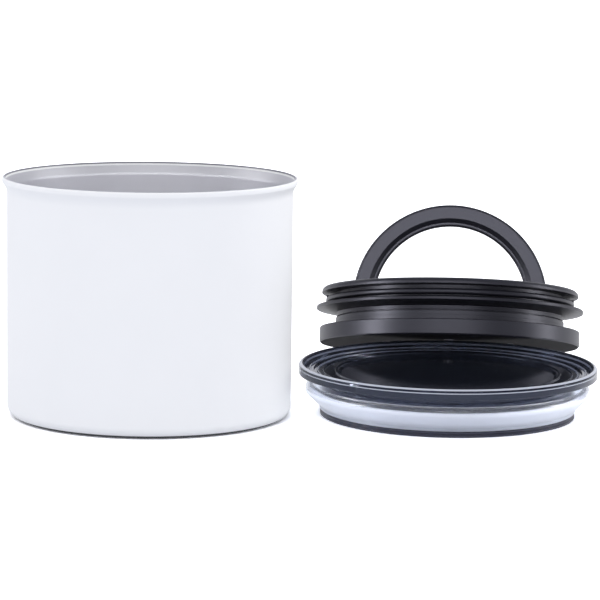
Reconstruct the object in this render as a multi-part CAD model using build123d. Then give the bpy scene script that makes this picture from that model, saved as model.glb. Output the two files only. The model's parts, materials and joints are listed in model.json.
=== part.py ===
"""Coffee canister with an inner valve lid and a clear outer cover, laid out side by side.

The steel canister stands open at the origin, on z = 0. The outer cover lies flat on its right.
The inner lid leans on the cover's rear rim, with its carrying handle upright and its valve open.
Millimetres, +Z up, +X to the right, +Y to the rear. Each piece is one STEP file in parts/.
"""
import os
from math import cos, radians, sin, tan

from build123d import *

# Steel canister: one drawn shell with a flared, rolled lip
can_radius = 63.8
can_height = 107.2
can_wall = 0.6
can_corner = 5.0
lip_flare = 2.1
lip_drop = 5.4
lip_roll = 0.9
lip_hem = 1.3
base_bead_radius = 44.0
base_bead_width = 5.0
base_bead_rise = 1.2

# Outer cover: tinted clear cap, soft plug seal and base ring
cover_height = 22.9
cover_wall = 1.6
skirt_wall = 1.3
skirt_height = 4.6
skirt_clearance = 0.3
crown_round = 1.4
crown_width = 1.9
slope_width = 1.9
slope_drop = 2.9
ledge_drop = 3.7
dish_depth = 4.8
dish_inset = 8.8
dish_wall_run = 1.2
bead_size = 0.5
ledge_step_share = 0.20
bead_shares = (0.91, 0.68, 0.52, 0.17)
plug_inset = 6.1
plug_wall = 1.6
base_ring_height = 3.0
base_ring_floor = 0.8
base_ring_wall = 0.8
base_ring_groove = 0.45
seal_gap = 0.2
seal_hub = 1.1
seal_height = 7.8
seal_root_rise = 1.4
seal_flare_rise = 7.4
seal_lip_rise = 10.5
seal_reach = 1.1
seal_lip = 0.9
seal_round = 2.4

# Inner lid: lower moulding with the sliding band, floor, neck and core tube
band_clearance = 0.3
band_height = 7.6
band_bevel = 0.7
band_wall = 2.2
base_floor = 2.4
neck_top = 10.1
neck_wall = 3.0
core_inset = 10.6
core_wall = 1.6

# Inner lid: rings stacked on the core tube, from the neck up
neck_ring_height = 2.1
lower_hub_height = 5.2
spacer_height = 1.6
spacer_wall = 1.5
seal_root_wall = 2.5
seal_groove_height = 0.5
seal_groove_depth = 1.0
lower_lip_reach = 1.4
lower_lip_root_rise = 2.4
lower_lip_root_thick = 2.3
lower_lip_rise = 4.1
lower_lip_edge = 1.6
upper_lip_reach = 5.4
upper_lip_bulb = 1.45
upper_lip_wall = 1.3
upper_lip_gap = 2.0
upper_hub_height = 5.1

# Inner lid: top plate with the recess that the handle folds into
flange_inset = 0.7
flange_thick = 2.9
flange_round = 2.2
recess_wall = 1.6
recess_floor_top = 15.0
recess_floor = 2.0
nest_clearance = 0.1
scoop_radius = 14.0
scoop_depth = 1.7
edge_round = 0.5

# Pivot of the handle: cross shaft, bushes and ears
shaft_axis_drop = 5.7
shaft_radius = 2.0
shaft_clearance = 0.04
bush_wall = 1.0
bush_flange = 1.1
bush_flange_thick = 0.5
bush_end_gap = 0.1
ear_half_width = 5.4
shaft_end_gap = 0.2
spring_pin_radius = 0.8
cam_pin_radius = 0.6
pin_clearance = 0.02

# Handle: half ring with a stepped inner edge and round hubs
handle_gap = 1.9
handle_face_width = 6.6
handle_bevel_width = 2.0
handle_lip_width = 1.7
handle_depth = 8.0
handle_lip_depth = 4.4
handle_outer_round = 1.3
handle_inner_round = 0.5
hub_radius = 5.2
hub_length = 10.3

# Valve: an involute cam on the shaft presses the stem down as the handle stands up
valve_travel = 2.0
handle_fold_deg = 90.0
cam_reach = 5.14
cam_width = 6.0
cam_back_radius = 3.2
cam_clearance = 0.06
well_radius = 14.0
well_wall = 1.8
well_roof_bottom = 7.0
well_roof = 1.6
seat_bore = 5.5
seat_wall = 1.4
seat_lip = 1.3
seat_lip_thick = 0.6
seat_gap = 0.1
gasket_radius = 9.0
gasket_thick = 1.0
disc_radius = 9.6
disc_thick = 1.4
clip_radius = 2.7
clip_thick = 0.6
clip_mouth = 1.2
clip_groove = 0.3
stem_radius = 1.5
stem_clearance = 0.05
stem_tail = 0.3
head_radius = 4.0
head_thick = 1.5
head_hole_clearance = 1.0
guide_radius = 9.6
guide_rim = 1.4
guide_hub_radius = 2.6
guide_hub_height = 2.9
guide_plate = 1.4
guide_spoke_width = 2.0
guide_spokes = 3
spring_radius = 3.2
spring_wire_radius = 0.3
spring_turns = 4
spring_play = 0.02
screen_thick = 0.7
screen_clearance = 0.1
screen_hole_radius = 0.8
screen_ring_radius = 4.0
screen_rings = 3
screen_holes_per_ring = 8

# Screws that clamp the inner lid together, driven from below
screw_count = 6
screw_inset = 18.3
screw_radius = 1.25
screw_length = 8.0
screw_clearance = 0.05
screw_head_radius = 2.4
screw_head_height = 1.3
screw_head_sink = 0.2
screw_socket_radius = 0.75
screw_socket_depth = 0.8
screw_boss_wall = 1.9

# Layout of the set: the cover beside the canister, the inner lid leaning on the cover
cover_gap = 1.1
cover_y = 8.0
lean_deg = 14.0
lean_turn_deg = 3.1
rest_gap = 0.3

overrun = 1.0

# Sizes that follow from the ones above
can_bore = can_radius - can_wall
lip_radius = can_radius + lip_flare
cover_radius = lip_radius + skirt_clearance + skirt_wall
cover_x = lip_radius + cover_gap + cover_radius
skirt_bottom = cover_height - skirt_height
seal_start = base_ring_height + seal_gap
band_radius = can_bore - band_clearance
plug_radius = band_radius - plug_inset
dish_radius = plug_radius - dish_inset
core_radius = band_radius - core_inset
core_bore = core_radius - core_wall
screw_circle = core_radius - screw_inset
neck_radius = core_radius + neck_wall
seal_root_radius = core_radius + seal_root_wall
neck_ring_top = neck_top + neck_ring_height
lower_hub_top = neck_ring_top + lower_hub_height
spacer_top = lower_hub_top + spacer_height
lid_height = spacer_top + upper_hub_height + flange_thick
flange_radius = band_radius - flange_inset
flange_bottom = lid_height - flange_thick
recess_outer = core_bore - nest_clearance
recess_radius = recess_outer - recess_wall
recess_underside = recess_floor_top - recess_floor
handle_radius = recess_radius - handle_gap
shaft_height = lid_height - shaft_axis_drop
bush_radius = shaft_radius + shaft_clearance + bush_wall
ear_face = handle_radius + bush_end_gap + bush_flange_thick
shaft_end = core_bore - shaft_end_gap
handle_bore_radius = handle_radius - handle_face_width - handle_bevel_width - handle_lip_width
involute_radius = valve_travel / radians(handle_fold_deg)
head_top = shaft_height - cam_reach - cam_clearance
head_bottom = head_top - head_thick
seat_bottom = well_roof_bottom - seat_lip_thick
gasket_top = seat_bottom - seat_gap - valve_travel
disc_top = gasket_top - gasket_thick
clip_top = disc_top - disc_thick
stem_bottom = clip_top - clip_thick - stem_tail
well_top = well_roof_bottom + well_roof
guide_top = well_top + guide_plate


def outline(*corners):
    """Closed flat outline from corners written as (x, y) or (x, y, corner radius)."""
    points = [corner[:2] for corner in corners]
    rounds = [corner[2] if len(corner) > 2 else 0 for corner in corners]
    return make_face(FilletPolyline(*points, radius=rounds, close=True))


def turned(*corners):
    """Solid of revolution about Z from an outline in radius and height."""
    return revolve(Plane.XZ * outline(*corners), Axis.Z)


def ring(inner, outer, bottom, top):
    """Plain ring about Z between two heights."""
    return turned((inner, bottom), (outer, bottom), (outer, top), (inner, top))


def rod(radius, bottom, top):
    """Round rod about Z between two heights."""
    return Pos(0, 0, bottom) * extrude(Circle(radius), top - bottom)


def cross_rod(radius, start, end):
    """Round rod along X at the height of the handle's shaft."""
    return Pos(start, 0, shaft_height) * Rot(0, 90, 0) * extrude(Circle(radius), end - start)


def canister_body():
    """Drawn shell: flat base with a pressed stiffening bead, straight wall and flared lip."""
    floor_top = can_wall
    flare_start = can_height - lip_drop
    bead_out = base_bead_radius + base_bead_width / 2
    bead_in = base_bead_radius - base_bead_width / 2
    bead_slope = base_bead_rise
    bead_top = base_bead_rise + can_wall
    return turned(
        (0, 0),
        (bead_in, 0, can_wall),
        (bead_in + bead_slope, base_bead_rise, can_wall),
        (bead_out - bead_slope, base_bead_rise, can_wall),
        (bead_out, 0, can_wall),
        (can_radius, 0, can_corner),
        (can_radius, flare_start, lip_drop),
        (lip_radius, can_height - lip_roll - lip_hem, lip_hem),
        (lip_radius, can_height, lip_roll),
        (lip_radius - lip_hem, can_height, lip_hem / 4),
        (can_bore, flare_start, lip_drop),
        (can_bore, floor_top, can_corner - can_wall),
        (bead_out + can_wall / 2, floor_top, can_wall / 2),
        (bead_out - bead_slope + can_wall / 2, bead_top, can_wall / 2),
        (bead_in + bead_slope - can_wall / 2, bead_top, can_wall / 2),
        (bead_in - can_wall / 2, floor_top, can_wall / 2),
        (0, floor_top),
    )


def cover_cap():
    """Moulded cap: outer skirt, rounded crown, dished top with fine rings, and plug wall."""
    skirt_bore = cover_radius - skirt_wall
    crown_in = cover_radius - crown_width
    slope_in = crown_in - slope_width
    slope_foot = cover_height - slope_drop
    ledge = cover_height - ledge_drop
    floor_top = cover_height - dish_depth
    underside = floor_top - cover_wall
    ledge_width = slope_in - dish_radius
    step_in = slope_in - ledge_step_share * ledge_width
    body = turned(
        (0, underside),
        (plug_radius - plug_wall, underside, edge_round),
        (plug_radius - plug_wall, base_ring_floor),
        (plug_radius, base_ring_floor),
        (plug_radius, ledge - cover_wall, edge_round),
        (slope_in + edge_round, ledge - cover_wall, edge_round),
        (crown_in, cover_height - crown_width, edge_round / 2),
        (skirt_bore, cover_height - crown_width, edge_round / 4),
        (skirt_bore, skirt_bottom, skirt_wall / 4),
        (cover_radius, skirt_bottom, skirt_wall / 4),
        (cover_radius, cover_height, crown_round),
        (crown_in, cover_height, edge_round),
        (slope_in, slope_foot, edge_round / 2),
        (step_in, slope_foot, edge_round / 2),
        (step_in, ledge, edge_round / 2),
        (dish_radius + dish_wall_run, ledge, edge_round),
        (dish_radius, floor_top, edge_round),
        (0, floor_top),
    )
    heights = (slope_foot, ledge, ledge, ledge)
    for share, height in zip(bead_shares, heights):
        body += fine_bead(dish_radius + share * ledge_width, height)
    return body


def fine_bead(radius, height):
    """Thin moulded ring line that stands half its size out of a flat ledge."""
    return turned(
        (radius - bead_size, height - bead_size / 2),
        (radius + bead_size, height - bead_size / 2),
        (radius + bead_size / 2, height + bead_size),
        (radius - bead_size / 2, height + bead_size),
    )


def cover_seal():
    """Soft plug seal: hub on the plug wall with a thin lip that flares out and up like a bowl."""
    hub = plug_radius + seal_hub
    reach = can_bore + seal_reach
    root = seal_start + seal_root_rise
    widest = seal_start + seal_flare_rise
    lip_top = seal_start + seal_lip_rise
    return turned(
        (plug_radius, seal_start),
        (hub, seal_start, seal_lip / 4),
        (hub, root),
        (reach, widest, seal_round),
        (reach, lip_top, seal_lip / 4),
        (reach - seal_lip, lip_top, seal_lip / 4),
        (reach - seal_lip, widest + seal_lip / 2, seal_round - seal_lip),
        (hub, root + seal_lip + seal_lip / 2),
        (hub, seal_start + seal_height, seal_lip / 4),
        (plug_radius, seal_start + seal_height),
    )


def cover_base_ring():
    """Elastomer ring snapped over the foot of the plug wall, grooved round its outside."""
    outer = plug_radius + base_ring_wall
    inner = plug_radius - plug_wall - base_ring_wall
    middle = base_ring_height / 2
    return turned(
        (inner, 0, base_ring_wall / 4),
        (outer, 0, base_ring_wall / 4),
        (outer, middle - base_ring_groove),
        (outer - base_ring_groove, middle),
        (outer, middle + base_ring_groove),
        (outer, base_ring_height, base_ring_wall / 4),
        (plug_radius, base_ring_height),
        (plug_radius, base_ring_floor),
        (plug_radius - plug_wall, base_ring_floor),
        (plug_radius - plug_wall, base_ring_height),
        (inner, base_ring_height, base_ring_wall / 4),
    )


def screw_places():
    """Places of the clamping screws, clear of the shaft above."""
    return PolarLocations(screw_circle, screw_count, start_angle=180 / screw_count)


def lid_base():
    """Lower moulding: sliding band, floor, neck, core tube and the well that holds the valve."""
    well_outer = well_radius + well_wall
    body = turned(
        (seat_bore + seat_wall, well_roof_bottom),
        (well_radius, well_roof_bottom, edge_round),
        (well_radius, 0, edge_round / 2),
        (band_radius - band_bevel, 0),
        (band_radius, band_bevel),
        (band_radius, band_height, edge_round),
        (neck_radius, band_height, edge_round / 2),
        (neck_radius, neck_top),
        (core_radius, neck_top),
        (core_radius, flange_bottom),
        (core_bore, flange_bottom),
        (core_bore, band_height - band_wall, edge_round),
        (band_radius - band_wall, band_height - band_wall, edge_round),
        (band_radius - band_wall, base_floor, edge_round),
        (well_outer, base_floor, edge_round),
        (well_outer, well_top, edge_round),
        (seat_bore + seat_wall, well_top),
    )
    sink_radius = screw_head_radius + screw_clearance
    sink_top = screw_head_sink + screw_head_height
    hole = rod(screw_radius + screw_clearance, -overrun, base_floor + overrun)
    hole += rod(sink_radius, -overrun, sink_top)
    for place in screw_places():
        body -= place * hole
    return body


def neck_ring():
    """Plain clamp ring that sits on the neck, under the lower seal."""
    return turned(
        (core_radius, neck_top),
        (neck_radius, neck_top),
        (neck_radius, neck_ring_top, edge_round / 2),
        (core_radius, neck_ring_top),
    )


def lower_wiper_seal():
    """Lower wiper seal: a grooved hub whose flat lip reaches out past the canister's bore."""
    tip_radius = can_bore + lower_lip_reach
    tip_low = neck_ring_top + lower_lip_rise
    root_low = neck_ring_top + lower_lip_root_rise
    groove_top = neck_ring_top + seal_groove_height
    return turned(
        (core_radius, neck_ring_top),
        (seal_root_radius - seal_groove_depth, neck_ring_top),
        (seal_root_radius - seal_groove_depth, groove_top),
        (seal_root_radius, groove_top),
        (seal_root_radius, root_low, edge_round / 2),
        (tip_radius, tip_low, lower_lip_edge / 4),
        (tip_radius, tip_low + lower_lip_edge, lower_lip_edge / 4),
        (seal_root_radius, root_low + lower_lip_root_thick),
        (seal_root_radius, lower_hub_top),
        (core_radius, lower_hub_top),
    )


def seal_spacer():
    """Spacer ring that holds the two wiper seals apart."""
    return ring(core_radius, core_radius + spacer_wall, lower_hub_top, spacer_top)


def upper_wiper_seal():
    """Upper wiper seal: a short web that ends in a round bulb below the flange."""
    upper_lip_radius = seal_root_radius + upper_lip_reach
    bulb_top = flange_bottom - upper_lip_gap
    bulb_bottom = bulb_top - 2 * upper_lip_bulb
    bulb_in = upper_lip_radius - 2 * upper_lip_bulb
    web_low = bulb_bottom + upper_lip_bulb - upper_lip_wall / 2
    hub = ring(core_radius, seal_root_radius, spacer_top, flange_bottom)
    web = ring(seal_root_radius, bulb_in + upper_lip_bulb, web_low, web_low + upper_lip_wall)
    bulb_round = upper_lip_bulb - edge_round / 4
    bulb = turned(
        (bulb_in, bulb_bottom, bulb_round),
        (upper_lip_radius, bulb_bottom, bulb_round),
        (upper_lip_radius, bulb_top, bulb_round),
        (bulb_in, bulb_top, bulb_round),
    )
    return hub + web + bulb


def lid_top_plate():
    """Top plate: flange, recess for the folded handle, pivot ears and screw bosses below."""
    head_hole = head_radius + head_hole_clearance
    body = turned(
        (head_hole, recess_underside),
        (recess_outer, recess_underside, edge_round),
        (recess_outer, flange_bottom),
        (flange_radius, flange_bottom, edge_round / 2),
        (flange_radius, lid_height, flange_round),
        (recess_radius, lid_height, flange_round / 2),
        (recess_radius, recess_floor_top, flange_round / 2),
        (head_hole, recess_floor_top),
    )
    body += ear_pair()
    boss_radius = screw_radius + screw_boss_wall
    for place in screw_places():
        body += place * rod(boss_radius, base_floor, recess_underside)
    screw_top = screw_head_sink + screw_head_height + screw_length
    for place in screw_places():
        body -= place * rod(screw_radius + screw_clearance, base_floor - overrun, screw_top + screw_clearance)
    body -= cross_rod(bush_radius, -shaft_end - overrun, shaft_end + overrun) & wall_zone()
    scoop_height = lid_height + scoop_radius - scoop_depth
    return body - Pos(0, recess_radius, scoop_height) * Sphere(scoop_radius)


def ear_pair():
    """Two ears that stand on the recess floor and join its wall, with round tops."""
    ear_top = shaft_height + ear_half_width
    side = make_face(
        FilletPolyline(
            (-ear_half_width, recess_underside),
            (ear_half_width, recess_underside),
            (ear_half_width, ear_top),
            (-ear_half_width, ear_top),
            radius=[0, 0, ear_half_width - edge_round, ear_half_width - edge_round],
            close=True,
        )
    )
    pair = None
    for hand in (-1, 1):
        ear = extrude(Plane.YZ.offset(hand * ear_face) * side, hand * (recess_outer - ear_face))
        ear = ear & rod(recess_outer, recess_underside, lid_height)
        pair = ear if pair is None else pair + ear
    return pair


def wall_zone():
    """Space outside the inner faces of the two ears, where the bush bores are cut."""
    height = lid_height + overrun
    return rod(flange_radius, 0, height) - Box(2 * ear_face, 2 * flange_radius, 2 * height)


def pivot_bush(hand):
    """Flanged bush in one ear: hand is -1 on the left and 1 on the right."""
    flange_start = handle_radius + bush_end_gap
    sleeve = cross_rod(bush_radius, hand * ear_face, hand * recess_outer)
    flange = cross_rod(bush_radius + bush_flange, hand * flange_start, hand * ear_face)
    bore = cross_rod(shaft_radius + shaft_clearance, hand * (flange_start - overrun), hand * (shaft_end + overrun))
    return sleeve + flange - bore & rod(recess_outer, 0, lid_height)


def cam_shaft():
    """Cross shaft that carries the handle's two hubs and the cam, bored for their pins."""
    body = cross_rod(shaft_radius, -shaft_end, shaft_end)
    body = body & rod(recess_outer, 0, lid_height)
    for pin in spring_pin_places():
        body -= pin * rod(spring_pin_radius + pin_clearance, -hub_radius, hub_radius)
    return body - Pos(0, 0, shaft_height) * rod(cam_pin_radius + pin_clearance, -hub_radius, hub_radius)


def spring_pin_places():
    """Middles of the two hub pins, half way along each hub."""
    middle = handle_radius - hub_length / 2
    return [Pos(hand * middle, 0, shaft_height) for hand in (-1, 1)]


def handle_pins():
    """Two spring pins that lock the handle's hubs to the shaft, flush with the hubs."""
    reach = hub_radius - edge_round
    return [place * rod(spring_pin_radius, -reach, reach) for place in spring_pin_places()]


def handle():
    """Half ring handle, stepped inside, with a round hub at each end bored for the shaft."""
    half = handle_depth / 2
    half_lip = handle_lip_depth / 2
    bevel_outer = handle_radius - handle_face_width
    bevel_inner = bevel_outer - handle_bevel_width
    section = outline(
        (handle_radius, -half, handle_outer_round),
        (handle_radius, half, handle_outer_round),
        (bevel_outer, half, handle_inner_round),
        (bevel_inner, half_lip, handle_inner_round),
        (handle_bore_radius, half_lip, handle_outer_round),
        (handle_bore_radius, -half_lip, handle_outer_round),
        (bevel_inner, -half_lip, handle_inner_round),
        (bevel_outer, -half, handle_inner_round),
    )
    body = Pos(0, 0, shaft_height) * revolve(section, Axis.Y, -180)
    for hand in (-1, 1):
        body += cross_rod(hub_radius, hand * (handle_radius - hub_length), hand * handle_radius)
    body -= cross_rod(shaft_radius, -shaft_end, shaft_end)
    for pin in spring_pin_places():
        body -= pin * rod(spring_pin_radius + pin_clearance, -hub_radius - overrun, hub_radius + overrun)
    return body


def involute_point(turn):
    """Point of the cam's working face, turn radians on from the lowest point, in Y and height.

    The face is the curve whose reach falls evenly with the turn, so a flat follower below it
    rises by the involute radius for each radian that the handle folds to the rear.
    """
    reach = cam_reach - involute_radius * turn
    return (
        reach * sin(turn) - involute_radius * cos(turn),
        -reach * cos(turn) - involute_radius * sin(turn),
    )


def valve_cam():
    """Cam that turns with the handle: involute working face and a round back on the shaft."""
    full_turn = radians(handle_fold_deg)
    steps = 6
    face_points = [involute_point(full_turn * step / steps) for step in range(steps + 1)]
    start = face_points[0]
    end = face_points[-1]
    heel = (start[0] - involute_radius / 2, start[1] + involute_radius / 4)
    front = (-cam_back_radius, 0)
    rear = (cam_back_radius, 0)
    profile = make_face(
        [
            Line(front, heel),
            Line(heel, start),
            Spline(*face_points),
            Line(end, rear),
            ThreePointArc(rear, (0, cam_back_radius), front),
        ]
    )
    lobe = extrude(Plane.YZ.offset(-cam_width / 2) * profile, cam_width)
    lobe = Pos(0, 0, shaft_height) * lobe
    lobe -= cross_rod(shaft_radius, -cam_width, cam_width)
    return lobe - Pos(0, 0, shaft_height) * rod(cam_pin_radius + pin_clearance, -cam_width, cam_width)


def cam_pin():
    """Pin that locks the cam to the shaft."""
    reach = cam_back_radius - edge_round
    return Pos(0, 0, shaft_height) * rod(cam_pin_radius, -reach, reach)


def valve_stem():
    """Valve stem: flat round head under the cam, rod through the guide and a clip groove."""
    body = rod(stem_radius, stem_bottom, head_bottom)
    head = turned(
        (0, head_bottom),
        (head_radius, head_bottom, edge_round / 2),
        (head_radius, head_top, edge_round / 2),
        (0, head_top),
    )
    groove = ring(clip_bore(), head_radius, clip_top - clip_thick, clip_top)
    return body + head - groove


def clip_bore():
    """Radius at the bottom of the stem's clip groove."""
    return stem_radius - clip_groove


def valve_disc():
    """Stiff disc that carries the gasket."""
    return turned(
        (stem_radius, clip_top),
        (disc_radius - disc_thick / 2, clip_top),
        (disc_radius, clip_top + disc_thick / 2),
        (disc_radius, disc_top),
        (stem_radius, disc_top),
    )


def valve_gasket():
    """Soft washer that meets the seat when the valve shuts."""
    return ring(stem_radius, gasket_radius, disc_top, gasket_top)


def valve_clip():
    """Open retaining clip in the stem's groove, under the disc."""
    body = ring(clip_bore(), clip_radius, clip_top - clip_thick, clip_top)
    slot = Pos(0, clip_radius, clip_top) * Box(clip_mouth, 2 * clip_radius, 2 * clip_thick)
    return body - slot


def valve_seat():
    """Seat ring pressed into the roof of the well, with its sealing lip below."""
    outer = seat_bore + seat_wall
    return turned(
        (seat_bore, seat_bottom),
        (outer + seat_lip, seat_bottom),
        (outer + seat_lip, well_roof_bottom),
        (outer, well_roof_bottom),
        (outer, well_top),
        (seat_bore, well_top),
    )


def valve_guide():
    """Guide for the stem: a rim on the well's roof, open spokes and a bored hub."""
    hub_top = well_top + guide_hub_height
    body = ring(guide_radius - guide_rim, guide_radius, well_top, guide_top)
    body += rod(guide_hub_radius, well_top, hub_top)
    length = guide_radius - guide_rim / 2
    for turn in PolarLocations(0, guide_spokes):
        body += turn * Pos(length / 2, 0, well_top + guide_plate / 2) * Box(length, guide_spoke_width, guide_plate)
    return body - rod(stem_radius + stem_clearance, well_top - overrun, hub_top + overrun)


def valve_spring():
    """Coil spring between the guide and the stem's head; it lifts the valve shut."""
    start = guide_top + spring_wire_radius + spring_play
    length = head_bottom - spring_wire_radius - spring_play - start
    path = Helix(length / spring_turns, length, spring_radius)
    section = Plane(path @ 0, z_dir=path % 0) * Circle(spring_wire_radius)
    return Pos(0, 0, start) * sweep(section, path, is_frenet=True)


def valve_screen():
    """Round perforated screen, flush in the mouth of the well, that keeps grounds out."""
    body = rod(well_radius - screen_clearance, 0, screen_thick)
    hole = rod(screen_hole_radius, -overrun, screen_thick + overrun)
    for step in range(1, screen_rings + 1):
        for place in PolarLocations(step * screen_ring_radius, step * screen_holes_per_ring):
            body -= place * hole
    return body - hole


def lid_screws():
    """Pan-head screws that clamp the top plate down on the base, one solid each."""
    head_base = screw_head_sink
    head_end = screw_head_sink + screw_head_height
    screw = turned(
        (0, head_base + screw_socket_depth),
        (screw_socket_radius, head_base + screw_socket_depth),
        (screw_socket_radius, head_base),
        (screw_head_radius, head_base, screw_head_height / 2),
        (screw_head_radius, head_end),
        (screw_radius, head_end),
        (screw_radius, head_end + screw_length - screw_radius),
        (0, head_end + screw_length),
    )
    return [place * screw for place in screw_places()]


def lid_place():
    """Place of the inner lid: rear edge on the table, underside just clear of the cover's rim."""
    tilt = radians(lean_deg)
    turn = radians(lean_turn_deg)
    centre_height = (band_radius - band_bevel) * sin(tilt)
    rim_centre_radius = cover_radius - crown_round
    rim_centre_height = cover_height - crown_round
    reach = (crown_round + rest_gap) / cos(tilt)
    overlap = (rim_centre_height + reach - centre_height) / tan(tilt)
    distance = rim_centre_radius + overlap
    spot = Pos(cover_x + distance * sin(turn), cover_y + distance * cos(turn), centre_height)
    return spot * Rot(0, 0, -lean_turn_deg) * Rot(-lean_deg, 0, 0)


def build_parts():
    """All pieces by name, each in its place in the set."""
    cover = Pos(cover_x, cover_y, 0)
    lid = lid_place()
    return {
        "canister_body": canister_body(),
        "cover_cap": cover * cover_cap(),
        "cover_seal": cover * cover_seal(),
        "cover_base_ring": cover * cover_base_ring(),
        "lid_base": lid * lid_base(),
        "lid_neck_ring": lid * neck_ring(),
        "lower_wiper_seal": lid * lower_wiper_seal(),
        "seal_spacer": lid * seal_spacer(),
        "upper_wiper_seal": lid * upper_wiper_seal(),
        "lid_top_plate": lid * lid_top_plate(),
        "lid_screws": Compound([lid * screw for screw in lid_screws()]),
        "pivot_bush_left": lid * pivot_bush(-1),
        "pivot_bush_right": lid * pivot_bush(1),
        "handle": lid * handle(),
        "handle_pins": Compound([lid * pin for pin in handle_pins()]),
        "cam_shaft": lid * cam_shaft(),
        "valve_cam": lid * valve_cam(),
        "cam_pin": lid * cam_pin(),
        "valve_stem": lid * valve_stem(),
        "valve_disc": lid * valve_disc(),
        "valve_gasket": lid * valve_gasket(),
        "valve_clip": lid * valve_clip(),
        "valve_seat": lid * valve_seat(),
        "valve_guide": lid * valve_guide(),
        "valve_spring": lid * valve_spring(),
        "valve_screen": lid * valve_screen(),
    }


os.makedirs("parts", exist_ok=True)
for name, piece in build_parts().items():
    export_step(piece, f"parts/{name}.step")
    print(f"{name}: {len(piece.solids())} solid(s), {piece.volume:.1f} mm3")
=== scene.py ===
"""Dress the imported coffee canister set: powder-coated steel, a clear cover and a black valve lid.

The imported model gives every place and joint. This script models the finished surfaces round
it, in metres, gives each carried-over piece its material and sets up a plain white studio.
"""
from __future__ import annotations

import json
import logging
import math
from collections.abc import Callable, Sequence
from dataclasses import dataclass, replace
from enum import Enum
from functools import cache

import bmesh
import bpy
from mathutils import Matrix, Vector

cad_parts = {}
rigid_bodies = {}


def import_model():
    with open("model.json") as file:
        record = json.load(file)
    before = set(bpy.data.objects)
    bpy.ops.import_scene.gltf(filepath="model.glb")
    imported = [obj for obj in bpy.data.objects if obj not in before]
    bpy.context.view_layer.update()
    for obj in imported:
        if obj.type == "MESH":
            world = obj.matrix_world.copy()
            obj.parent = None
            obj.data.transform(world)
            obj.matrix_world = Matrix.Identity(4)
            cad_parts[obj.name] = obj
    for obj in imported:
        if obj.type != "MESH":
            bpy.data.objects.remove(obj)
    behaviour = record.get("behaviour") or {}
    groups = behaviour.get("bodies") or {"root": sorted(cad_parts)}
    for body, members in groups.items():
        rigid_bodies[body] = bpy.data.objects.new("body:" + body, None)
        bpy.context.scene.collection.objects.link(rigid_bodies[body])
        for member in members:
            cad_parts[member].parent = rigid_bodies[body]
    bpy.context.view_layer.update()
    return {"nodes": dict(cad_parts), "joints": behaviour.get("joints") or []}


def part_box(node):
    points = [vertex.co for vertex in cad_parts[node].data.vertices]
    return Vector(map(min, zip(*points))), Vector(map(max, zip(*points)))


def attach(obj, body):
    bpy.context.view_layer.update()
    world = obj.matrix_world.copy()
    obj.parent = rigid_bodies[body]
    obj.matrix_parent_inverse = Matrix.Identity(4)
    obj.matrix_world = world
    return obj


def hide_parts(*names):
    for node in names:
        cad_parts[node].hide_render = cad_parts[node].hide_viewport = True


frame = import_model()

LOG = logging.getLogger("canister_set")
MM = 0.001
SHARP_DEG = 32
ARC_STEP_DEG = 10
AXIS_RADIUS = 1e-6
SAME_POINT = 1e-5
QUARTER_TURN = math.pi / 2
OVERCUT = 1
FULL_SEGMENTS = 256
ROD_SEGMENTS = 48
SHAFT_HEIGHT = 21.3
FULL_TURN_DEG = 360
EDGE_HOLD = 0.12
# Colour sockets of the Mix node, whose names repeat
MIX_FROM, MIX_TO, MIX_OUT = 6, 7, 2
# What the studio's lights aim at: the middle of the set, the lid on its cover, the canister's mouth
AT_SET = (0.07, 0.0, 0.05)
AT_LID = (0.14, 0.1, 0.03)
AT_MOUTH = (0.0, 0.0, 0.1)
CAN = "canister_shell"
SEAL = "cover_plug_seal"
HANDLE = "carry_handle"

Corner = tuple[float, ...]
Point = tuple[float, float]
Spot = tuple[float, float, float]
Paint = Callable[[float, float], int]
Piece = bpy.types.Object
Shape = bmesh.types.BMesh
Tree = bpy.types.NodeTree
Socket = bpy.types.NodeSocket


class Body(Enum):
    """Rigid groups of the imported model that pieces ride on."""

    CANISTER = "canister"
    COVER = "cover"
    INNER_LID = "inner_lid"
    HANDLE = "handle"
    VALVE = "valve"


class Slot(Enum):
    """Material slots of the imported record."""

    POWDER_WHITE = "powder_white"
    SMOKE_CLEAR = "smoke_clear"
    SILICONE = "translucent_silicone"
    ELASTOMER = "black_elastomer"
    BLACK_PLASTIC = "black_plastic"


def linear(code: str) -> tuple[float, float, float, float]:
    """Turn an sRGB hex colour into linear RGBA, with the numbers of the sRGB standard.

    Args:
        code: six hex digits with a leading hash.

    Returns:
        Linear red, green, blue and an alpha of 1.
    """
    channels = [int(code[i : i + 2], 16) / 255 for i in (1, 3, 5)]
    return (*(c / 12.92 if c <= 0.04045 else ((c + 0.055) / 1.055) ** 2.4 for c in channels), 1.0)


def grey(level: float) -> tuple[float, float, float, float]:
    """Neutral colour from a linear level."""
    return (level, level, level, 1.0)


def bare_tree(owner: bpy.types.Material | bpy.types.World) -> Tree:
    """Switch a material or world to nodes and empty it.

    Args:
        owner: the new material or world.

    Returns:
        Its node tree.
    """
    owner.use_nodes = True
    owner.node_tree.nodes.clear()
    return owner.node_tree


def add_node(
    tree: Tree,
    kind: str,
    settings: dict[str | int, object] | None = None,
    links: dict[str | int, Socket] | None = None,
) -> bpy.types.Node:
    """Add one shader node with its settings and incoming links.

    Args:
        tree: node tree that receives the node.
        kind: Blender's node type name, without the ShaderNode that all begin with.
        settings: input names or numbers with values, or attribute names with values.
        links: input names or numbers with the sockets that feed them.

    Returns:
        The new node.
    """
    node = tree.nodes.new(f"ShaderNode{kind}")
    for key, value in (settings or {}).items():
        if isinstance(key, int) or key in node.inputs:
            node.inputs[key].default_value = value
        else:
            setattr(node, key, value)
    for key, socket in (links or {}).items():
        tree.links.new(socket, node.inputs[key])
    return node


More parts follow.
